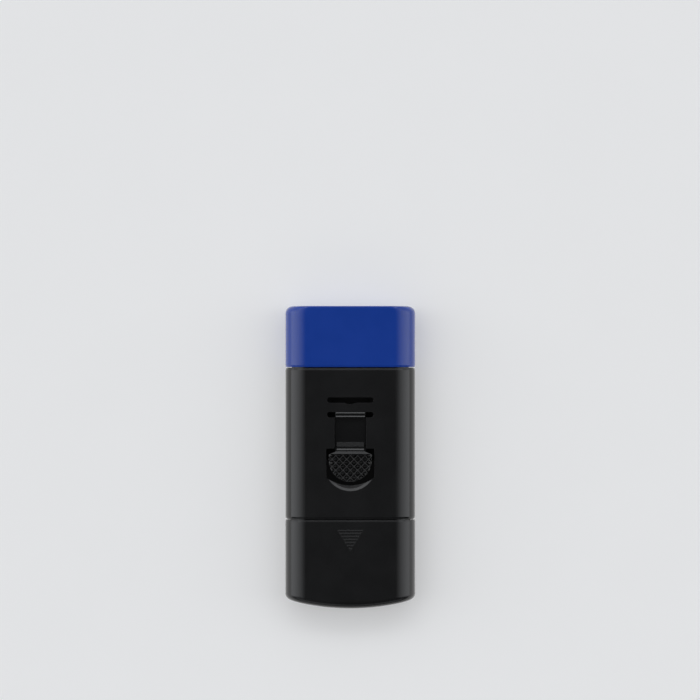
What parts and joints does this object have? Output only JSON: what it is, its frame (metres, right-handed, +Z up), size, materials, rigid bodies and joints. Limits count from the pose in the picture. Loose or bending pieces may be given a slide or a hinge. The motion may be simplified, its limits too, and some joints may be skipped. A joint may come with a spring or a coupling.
{
  "type": "ceramic hob scraper",
  "caption": "Flat pocket scraper: a knurled thumb slider clicks a single-edged blade out of a blue pull-off head, with a pull-off drawer for spare blades at the other end.",
  "frame": {"origin": "on the resting surface, below the middle of the tool's outline as it lies on its flat back", "axes": "+X to the right across the width, +Y along the length towards the blade, +Z up out of the front with the thumb pad"},
  "size_m": [0.042, 0.0974, 0.0147],
  "materials": {
    "black_plastic": "satin moulded black",
    "blue_plastic": "satin moulded blue",
    "carriage_plastic": "matte moulded black",
    "tongue_plastic": "smooth moulded black",
    "grip_plastic": "matte knurled black",
    "blade_steel": "ground carbon steel",
    "spine_steel": "rolled sheet steel"
  },
  "bodies": {
    "handle": {"front_shell": "black_plastic", "back_shell": "black_plastic"},
    "guard": {"blade_guard": "blue_plastic"},
    "slider": {"blade_carriage": "carriage_plastic", "latch_tongue": "tongue_plastic", "thumb_pad": "grip_plastic", "blade": "blade_steel", "blade_spine": "spine_steel"},
    "drawer": {"blade_drawer": "black_plastic", "spare_blade_lower": "blade_steel", "spare_spine_lower": "spine_steel", "spare_blade_upper": "blade_steel", "spare_spine_upper": "spine_steel"}
  },
  "joints": [
    {"name": "blade_slide", "type": "slide", "parent": "handle", "child": "slider", "axis": [0, 1, 0], "range_m": [0, 0.0047], "deforming": ["latch_tongue"]},
    {"name": "guard_pull", "type": "slide", "parent": "handle", "child": "guard", "axis": [0, 1, 0], "range_m": [0, 0.03]},
    {"name": "drawer_pull", "type": "slide", "parent": "handle", "child": "drawer", "axis": [0, -1, 0], "range_m": [0, 0.03]}
  ]
}
